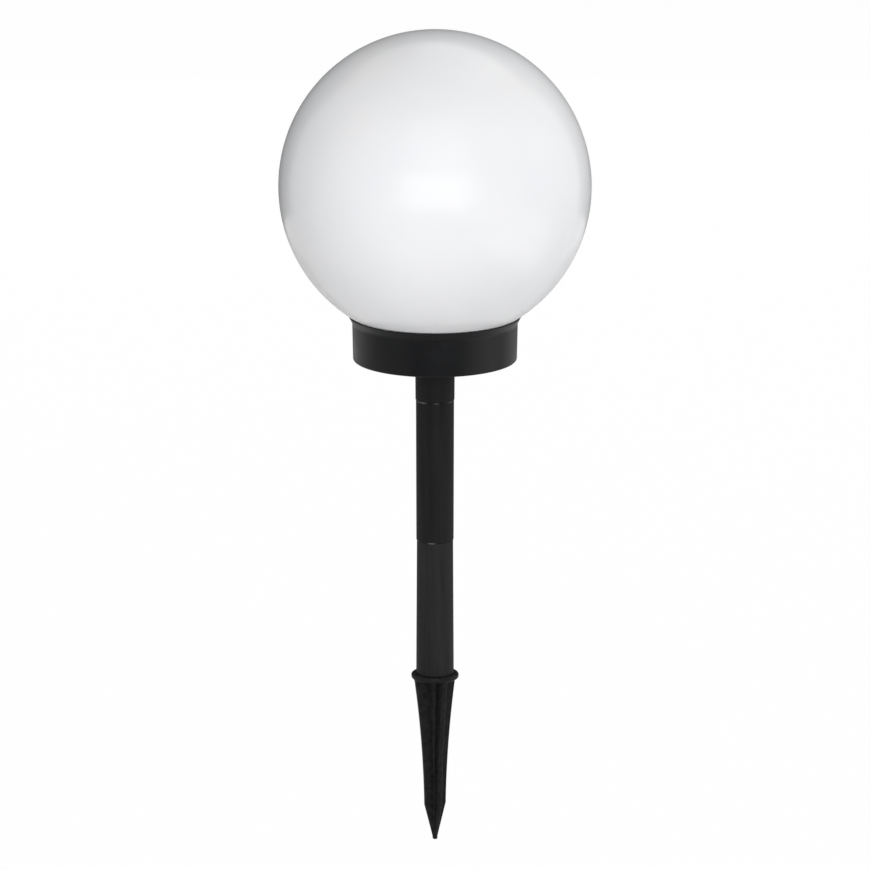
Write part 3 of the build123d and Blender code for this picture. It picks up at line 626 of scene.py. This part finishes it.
def rowTree():
    tree, entry, leave = newTree("barsInRow", {
        "Count": "Int", "Pitch": "Float", "Bar Size": "Vector", "Rail Size": "Vector", "Finish": "Material"})
    bar = addNode(tree, "GeometryNodeMeshCube", {"Size": entry.outputs["Bar Size"]})
    rail = addNode(tree, "GeometryNodeMeshCube", {"Size": entry.outputs["Rail Size"]})
    gaps = addMath(tree, "SUBTRACT", entry.outputs["Count"], 1.0)
    width = addMath(tree, "MULTIPLY", gaps, entry.outputs["Pitch"])
    start = addNode(tree, "ShaderNodeCombineXYZ", {"X": addMath(tree, "MULTIPLY", width, -0.5)})
    offset = addNode(tree, "ShaderNodeCombineXYZ", {"X": entry.outputs["Pitch"]})
    line = addNode(tree, "GeometryNodeMeshLine", {
        "Count": entry.outputs["Count"], "Start Location": start.outputs["Vector"],
        "Offset": offset.outputs["Vector"]})
    bars = addNode(tree, "GeometryNodeInstanceOnPoints",
                   {"Points": line.outputs["Mesh"], "Instance": bar.outputs["Mesh"]})
    both = addNode(tree, "GeometryNodeJoinGeometry")
    for part in (bars.outputs["Instances"], rail.outputs["Mesh"]):
        setInputs(both, {"Geometry": part})
    rows = addNode(tree, "GeometryNodeInstanceOnPoints",
                   {"Points": entry.outputs["Geometry"], "Instance": both.outputs["Geometry"]})
    return endTree(tree, entry, leave, rows.outputs["Instances"])


copiesAtPlaces, copiesInRing, barsInRow = copiesTree(), ringTree(), rowTree()


def growMesh(name, tree, finish, places, values):
    seed = bpy.data.meshes.new(name + "Places")
    seed.from_pydata([Vector(place) * mm for place in places], [], [])
    holder = addObject(name + "Holder", seed)
    grow = holder.modifiers.new("grow", "NODES")
    grow.node_group = tree
    inputs = {**values, "Finish": finishes[finish]}
    for item in tree.interface.items_tree:
        if item.in_out == "INPUT" and item.name in inputs:
            grow[item.identifier] = inputs[item.name]
    mesh = finalMesh(holder)
    mesh.name = name
    holder.modifiers.clear()
    bpy.data.objects.remove(holder)
    softShade(mesh)
    return mesh


def growCopies(name, tree, template, finish, places, values):
    model = addObject(name + "Model", template)
    mesh = growMesh(name, tree, finish, places, {**values, "Copy": model})
    bpy.data.objects.remove(model)
    return mesh


def stampCopies(name, template, finish, places, mostTurn=0.0, seed=1):
    return growCopies(name, copiesAtPlaces, template, finish, places, {"Most Turn": mostTurn, "Seed": seed})


# Globe

globe = {"radius": 100.0, "wall": 2.0, "neckOuter": 48.91, "neckInner": 46.91, "shoulder": 50.91,
         "neckRound": 0.5, "shoulderRound": 0.3, "segments": 256, "arcSteps": 96,
         "lugCount": 3, "lugArc": 24.0, "lugReach": 50.61, "lugHeight": 2.5, "lugSunk": 0.6, "lugSteps": 12,
         "lugRound": 0.25, "lugSharp": 1.0}


def arcPoints(radius, centre, start, end):
    points = []
    for k in range(globe["arcSteps"] + 1):
        angle = start + (end - start) * k / globe["arcSteps"]
        points.append(Vector((max(0.0, radius * math.cos(angle)), centre + radius * math.sin(angle))))
    return points


def lugsMesh(low):
    inner, outer, top = globe["neckOuter"] - globe["lugSunk"], globe["lugReach"], low + globe["lugHeight"]
    half = math.radians(globe["lugArc"] / 2)
    bm = bmesh.new()
    rings = []
    for k in range(globe["lugSteps"] + 1):
        angle = -half + 2 * half * k / globe["lugSteps"]
        rings.append([bm.verts.new((r * math.cos(angle) * mm, r * math.sin(angle) * mm, z * mm))
                      for r, z in ((inner, low), (outer, low), (outer, top), (inner, top))])
    skinRings(bm, rings)
    sharp = [edge for edge in bm.edges if edge.calc_face_angle() > globe["lugSharp"]]
    bmesh.ops.bevel(bm, geom=sharp, offset=globe["lugRound"] * mm, segments=2, affect="EDGES", profile=0.5)
    ring = {"Count": globe["lugCount"], "Step": 2 * math.pi / globe["lugCount"]}
    return growCopies("lugs", copiesInRing, closeMesh("lug", bm), "opalPlastic", [(0, 0, 0)], ring)


def globeMesh():
    low, high = (corner.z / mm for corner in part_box("globe"))
    radius, inside = globe["radius"], globe["radius"] - globe["wall"]
    neckInner, neckOuter, shoulder = globe["neckInner"], globe["neckOuter"], globe["shoulder"]
    centre = high - radius
    shoulderZ = centre - math.sqrt(radius ** 2 - shoulder ** 2)
    insideZ = centre - math.sqrt(inside ** 2 - neckInner ** 2)
    neck = roundedLoop([
        (neckInner, insideZ, 0), (neckInner, low, globe["neckRound"]), (neckOuter, low, globe["neckRound"]),
        (neckOuter, shoulderZ, globe["shoulderRound"]), (shoulder, shoulderZ, 0),
    ])[:-1]
    outer = arcPoints(radius, centre, math.asin((shoulderZ - centre) / radius), math.pi / 2)
    inner = arcPoints(inside, centre, math.pi / 2, math.asin((insideZ - centre) / inside))[:-1]
    shell = turned("globeShell", neck + outer + inner, segments=globe["segments"])
    return joinMeshes("opalGlobe", [shell, lugsMesh(low)])


addPiece("opalGlobe", globeMesh(), "opalPlastic", "globe", "opal_plastic", "globe")
print("globe: shell and", globe["lugCount"], "lugs")


# Screws

screws = {"head": 2.5, "headHeight": 1.5, "headRound": 0.7, "headEdge": 0.15, "shank": 1.2, "neckShare": 0.95,
          "neckLength": 0.3, "tip": 0.5, "tipLength": 0.6, "threadDepth": 0.22, "pitch": 0.8,
          "crest": (0.45, 0.6), "segments": 48, "recess": 3.4, "recessWidth": 0.62, "recessDepth": 0.9,
          "recessStep": 0.02, "sharp": 35.0}
screwSets = {
    "deckScrews": {"node": "deck_screws", "body": "head", "length": 7.0, "upsideDown": False, "seed": 3,
                   "places": [(34.996, 20.205), (-34.996, 20.205), (0, -40.41)]},
    "coverScrews": {"node": "battery_cover_screws", "body": "battery_cover", "length": 7.0,
                    "upsideDown": False, "seed": 5, "places": [(33.3, -23.85), (-33.3, -23.85)]},
    "boardScrews": {"node": "board_screws", "body": "head", "length": 4.0, "upsideDown": True, "seed": 8,
                    "places": [(12.5, 30.0), (-12.5, 30.0)]},
}


def screwMesh(length):
    shank, pitch, head, top = screws["shank"], screws["pitch"], screws["head"], screws["headHeight"]
    crestStart, crestEnd = screws["crest"]
    thread = []
    for k in range(int((length - 2 * screws["tipLength"]) / pitch)):
        foot = -length + screws["tipLength"] + k * pitch
        thread += [(shank - screws["threadDepth"], foot, 0), (shank, foot + pitch * crestStart, 0),
                   (shank, foot + pitch * crestEnd, 0)]
    neck = shank * screws["neckShare"]
    loop = roundedLoop([(0, -length, 0), (screws["tip"], -length, 0), *thread,
                        (neck, -screws["neckLength"], 0), (neck, 0, 0), (head, 0, screws["headEdge"]),
                        (head, top, screws["headRound"]), (0, top, 0)])
    body = addObject("screwBody", turned("screwBody", loop, segments=screws["segments"]))
    arm, width, depth = screws["recess"], screws["recessWidth"], 2 * screws["recessDepth"]
    helpers = [body]
    for size in ((arm, width, depth), (width, arm, depth - screws["recessStep"])):  # the cross recess
        cutter = addObject("cutter", boxMesh("recessArm", size, (0, 0, top)))
        cut = body.modifiers.new("recess", "BOOLEAN")
        cut.operation, cut.object, cut.solver = "DIFFERENCE", cutter, "EXACT"
        helpers.append(cutter)
    mesh = finalMesh(body)
    for helper in helpers:
        bpy.data.objects.remove(helper)
    softShade(mesh, screws["sharp"])
    return mesh


for pieceName, group in screwSets.items():
    low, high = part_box(group["node"])
    template = screwMesh(group["length"])
    seat = high.z / mm - screws["headHeight"]
    if group["upsideDown"]:
        seat = low.z / mm + screws["headHeight"]
        for vert in template.vertices:
            vert.co.y, vert.co.z = -vert.co.y, -vert.co.z
    places = [(x, y, seat) for x, y in group["places"]]
    mesh = stampCopies(pieceName, template, "screwZinc", places, mostTurn=math.pi / 2, seed=group["seed"])
    addPiece(pieceName, mesh, "screwZinc", group["body"], "screw_steel", group["node"])
print("screws:", sum(len(group["places"]) for group in screwSets.values()))


# Solar panel, LEDs, switch and battery cover

cellGrid = {"strips": 4, "length": 40.0, "width": 9.4, "pitch": 10.2, "fingerPitch": 2.0, "finger": 0.14,
            "fingerIn": 0.6, "thickness": 0.06, "bus": 1.1, "busThickness": 1.4}
cellLow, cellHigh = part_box("solar_cells")
stripY = [cellLow.y / mm + cellGrid["width"] / 2 + k * cellGrid["pitch"] for k in range(cellGrid["strips"])]
cellPlaces = [(0, y, cellHigh.z / mm) for y in stripY]
fingerSize = (cellGrid["finger"], cellGrid["width"] - cellGrid["fingerIn"], cellGrid["thickness"])
busSize = (cellGrid["length"], cellGrid["bus"], cellGrid["thickness"] * cellGrid["busThickness"])
fingers = growMesh("cellFingers", barsInRow, "cellSilver", cellPlaces, {
    "Count": int(cellGrid["length"] / cellGrid["fingerPitch"]) - 1, "Pitch": cellGrid["fingerPitch"] * mm,
    "Bar Size": Vector(fingerSize) * mm, "Rail Size": Vector(busSize) * mm})
addPiece("cellFingers", fingers, "cellSilver", "head", "tinned_metal")

led = {"flange": 2.9, "post": 0.45, "postGap": 0.05, "postNeck": 0.6, "cup": 1.25, "cupWall": 0.2,
       "cupRise": 3.4, "cupHeight": 0.9, "cupFloor": 0.7, "cupRound": 0.2, "rimOuter": 0.06, "rimInner": 0.04,
       "floorRound": 0.1, "dotGap": 0.02, "dotFootIn": 0.05, "dotIn": 0.25, "dotEdge": 0.6, "dotTop": 0.75,
       "segments": 40}
lensLow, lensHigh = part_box("led_lenses")
ledX = lensHigh.x / mm - led["flange"]
ledY = (lensLow.y / mm + led["flange"], lensHigh.y / mm - led["flange"])
ledPlaces = [(x, y, lensLow.z / mm) for x in (-ledX, ledX) for y in ledY]
cupFoot, cupTop, cupOuter = led["cupRise"], led["cupRise"] + led["cupHeight"], led["cup"] + led["cupWall"]
cupLoop = roundedLoop([
    (0, led["postGap"], 0), (led["post"], led["postGap"], 0),
    (led["post"], cupFoot - led["postNeck"], led["cupRound"]),
    (cupOuter, cupFoot - led["cupWall"], led["cupRound"]), (cupOuter, cupTop, led["rimOuter"]),
    (led["cup"], cupTop, led["rimInner"]), (led["cupFloor"], cupFoot, led["floorRound"]), (0, cupFoot, 0)])
dotFoot = cupFoot + led["dotGap"]
dotLoop = roundedLoop([
    (0, dotFoot, 0), (led["cupFloor"] - led["dotFootIn"], dotFoot, 0),
    (led["cup"] - led["dotIn"], cupFoot + led["cupHeight"] * led["dotEdge"], led["cupRound"]),
    (0, cupFoot + led["cupHeight"] * led["dotTop"], 0)])
ledParts = {
    "ledCups": {"loop": cupLoop, "finish": "tinnedMetal", "slot": "tinned_metal"},
    "ledPhosphor": {"loop": dotLoop, "finish": "phosphor", "slot": "led_resin"},
}
for pieceName, part in ledParts.items():
    template = turned(pieceName + "One", part["loop"], segments=led["segments"])
    mesh = stampCopies(pieceName, template, part["finish"], ledPlaces)
    addPiece(pieceName, mesh, part["finish"], "head", part["slot"])

knob = {"round": 0.35, "sunk": 0.25, "ridges": 3, "ridgePitch": 0.75, "ridge": (0.35, 2.3, 0.5),
        "ridgeRound": 0.12}
grip = {"ribs": 7, "pitch": 2.2, "rib": (0.9, 9.0, 0.7), "ribRound": 0.3}


def barRow(name, size, rounding, finish, count, pitch, middle):
    places = [(middle.x + pitch * (k - (count - 1) / 2), middle.y, middle.z) for k in range(count)]
    return stampCopies(name, boxMesh(name + "Bar", size, rounding=rounding), finish, places)


knobLow, knobHigh = (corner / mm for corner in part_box("switch_knob"))
knobSize, knobMiddle = knobHigh - knobLow, (knobHigh + knobLow) / 2
knobSize.z, knobMiddle.z = knobSize.z - knob["sunk"], knobMiddle.z - knob["sunk"] / 2
ridges = barRow("knobRidges", knob["ridge"], knob["ridgeRound"], "knobPlastic", knob["ridges"],
                knob["ridgePitch"], Vector((knobMiddle.x, knobMiddle.y, knobHigh.z - knob["sunk"])))
knobBody = boxMesh("knobBody", knobSize, knobMiddle, knob["round"])
addPiece("switchKnob", joinMeshes("switchKnob", [knobBody, ridges]), "knobPlastic", "switch",
         "knob_black", "switch_knob")

coverLow, coverHigh = (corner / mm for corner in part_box("battery_cover"))
ribs = barRow("coverGrip", grip["rib"], grip["ribRound"], "deckPlastic", grip["ribs"], grip["pitch"],
              Vector(((coverLow.x + coverHigh.x) / 2, (coverLow.y + coverHigh.y) / 2, coverHigh.z)))
addPiece("coverGrip", ribs, "deckPlastic", "battery_cover", "black_plastic")
print("deck details:", len(ledPlaces), "LEDs,", cellGrid["strips"], "cell strips")


# Studio

studio = {"floorSize": 24.0, "floorDrop": 0.0005, "floorColour": (0.7, 0.7, 0.7), "floorRoughness": 0.9,
          "floorSpecular": 0.1, "floorWhite": 0.985, "ambient": 0.2, "aim": (0, 0, 0.25)}


def whiteRays(tree):
    path = addNode(tree, "ShaderNodeLightPath")
    seen = path.outputs["Is Camera Ray"]
    for ray in ("Is Glossy Ray", "Is Transmission Ray"):
        seen = addMath(tree, "MAXIMUM", seen, path.outputs[ray])
    return seen


def addSheet(name, points, faces, finish, mirroredOnly=True):
    mesh = bpy.data.meshes.new(name)
    mesh.from_pydata(points, [], faces)
    mesh.materials.append(finish)
    sheet = addObject(name, mesh)
    if mirroredOnly:
        sheet.visible_camera = sheet.visible_diffuse = False
        sheet.visible_shadow = sheet.visible_transmission = False


def levelCorners(acrossSpan, depthSpan, level):
    (left, right), (near, far) = acrossSpan, depthSpan
    return [(left, near, level), (right, near, level), (right, far, level), (left, far, level)]


def addFloor():
    finish, tree, shader = newFinish("floorPaper")
    setInputs(shader, {"Base Color": (*studio["floorColour"], 1), "Roughness": studio["floorRoughness"],
                       "Specular IOR Level": studio["floorSpecular"]})
    glow = addNode(tree, "ShaderNodeEmission", {"Color": (1, 1, 1, 1)})
    share = addMath(tree, "MULTIPLY", whiteRays(tree), studio["floorWhite"])
    mixToSurface(tree, share, shader.outputs["BSDF"], glow.outputs["Emission"])
    span = (-studio["floorSize"] / 2, studio["floorSize"] / 2)
    corners = levelCorners(span, span, cadLow.z - studio["floorDrop"])
    addSheet("floor", corners, [(0, 1, 2, 3)], finish, mirroredOnly=False)


def addWorld():
    world = bpy.data.worlds.new("studioWorld")
    scene.world = world
    world.use_nodes = True
    tree = world.node_tree
    tree.nodes.clear()
    level = addMath(tree, "MAXIMUM", whiteRays(tree), studio["ambient"])
    back = addNode(tree, "ShaderNodeBackground", {"Color": (1, 1, 1, 1), "Strength": level})
    addNode(tree, "ShaderNodeOutputWorld", {"Surface": back.outputs["Background"]})


flag = {"reach": 1.5, "height": 1.6, "spread": 50.0, "panels": 24, "colour": (0.03, 0.03, 0.03),
        "roughness": 0.95}


def addFlag():  # dark card behind the globe, seen only in reflections, that draws its thin dark rim
    points, faces = [], []
    for step in range(flag["panels"] + 1):
        turn = math.radians(flag["spread"] * (2 * step / flag["panels"] - 1))
        x, y = flag["reach"] * math.sin(turn), flag["reach"] * math.cos(turn)
        points += [(x, y, cadLow.z), (x, y, cadLow.z + flag["height"])]
    for step in range(flag["panels"]):
        faces.append((2 * step, 2 * step + 1, 2 * step + 3, 2 * step + 2))
    finish, _, shader = newFinish("flagCloth")
    setInputs(shader, {"Base Color": (*flag["colour"], 1), "Roughness": flag["roughness"],
                       "Specular IOR Level": 0.0})
    addSheet("edgeFlag", points, faces, finish)


floorCards = {  # cards on the floor that only reflections see, places in metres, level 1 is white
    "frontCard": {"x": (-0.75, 0.75), "y": (-3.0, -0.75), "level": 0.25},
    "rightCard": {"x": (0.45, 1.8), "y": (-0.75, 0.08), "level": 2.25},
    "backCard": {"x": (-0.55, 0.55), "y": (0.45, 1.45), "level": 0.6},
}


def addFloorCard(name, card):
    finish, tree, shader = newFinish(name + "Paper")
    tree.nodes.remove(shader)
    glow = addNode(tree, "ShaderNodeEmission", {"Color": (1, 1, 1, 1), "Strength": card["level"]})
    toSurface(tree, glow.outputs["Emission"])
    addSheet(name, levelCorners(card["x"], card["y"], cadLow.z), [(0, 1, 2, 3)], finish)


softboxes = {  # bearing and height in degrees round the globe, distance and size in metres, watts
    "frontSoftbox": {"bearing": 0.0, "height": 10.0, "distance": 3.0, "size": (2.8, 1.4), "watts": 48.0},
    "highSoftbox": {"bearing": 0.0, "height": 45.0, "distance": 2.6, "size": (2.0, 1.6), "watts": 17.5},
    "rightEdgeSoftbox": {"bearing": 110.0, "height": 9.0, "distance": 2.4, "size": (2.2, 2.2), "watts": 33.5,
                         "mirrored": False},
    "leftBackSoftbox": {"bearing": -140.0, "height": 9.0, "distance": 2.4, "size": (1.8, 1.8), "watts": 8.0,
                        "mirrored": False},
    "leftSoftbox": {"bearing": -60.0, "height": 12.0, "distance": 2.4, "size": (1.2, 1.8), "watts": 2.2},
    "backSoftbox": {"bearing": 180.0, "height": 8.0, "distance": 2.6, "size": (2.4, 2.0), "watts": 26.0},
    "topSoftbox": {"bearing": 160.0, "height": 62.0, "distance": 2.4, "size": (1.6, 1.6), "watts": 8.6},
}


def addSoftbox(name, box):
    bearing, height = math.radians(box["bearing"]), math.radians(box["height"])
    away = Vector((math.sin(bearing) * math.cos(height), -math.cos(bearing) * math.cos(height),
                   math.sin(height)))
    data = bpy.data.lights.new(name, "AREA")
    data.shape = "RECTANGLE"
    data.size, data.size_y = box["size"]
    data.energy = box["watts"]
    lamp = addObject(name, data)
    lamp.location = Vector(studio["aim"]) + away * box["distance"]
    lamp.rotation_euler = away.to_track_quat("Z", "Y").to_euler()
    lamp.visible_camera = False
    lamp.visible_glossy = box.get("mirrored", True)


shot = {"elevation": 14.0, "distance": 4.0, "frameWidth": 0.5607, "aimHeight": 0.1626, "clipEnd": 60.0}


def addCamera():
    rise = math.radians(shot["elevation"])
    back = Vector((0, -math.cos(rise), math.sin(rise)))
    data = bpy.data.cameras.new("camera")
    data.lens = data.sensor_width * shot["distance"] / shot["frameWidth"]
    data.clip_end = shot["clipEnd"]
    camera = addObject("camera", data)
    camera.location = Vector((0, 0, shot["aimHeight"])) + back * shot["distance"]
    camera.rotation_euler = (-back).to_track_quat("-Z", "Y").to_euler()
    scene.camera = camera


addFloor()
addWorld()
addFlag()
for cardName, card in floorCards.items():
    addFloorCard(cardName, card)
for boxName, box in softboxes.items():
    addSoftbox(boxName, box)
addCamera()
scene.view_settings.view_transform = "Standard"
print("studio:", len(softboxes), "softboxes,", len(floorCards), "floor cards")
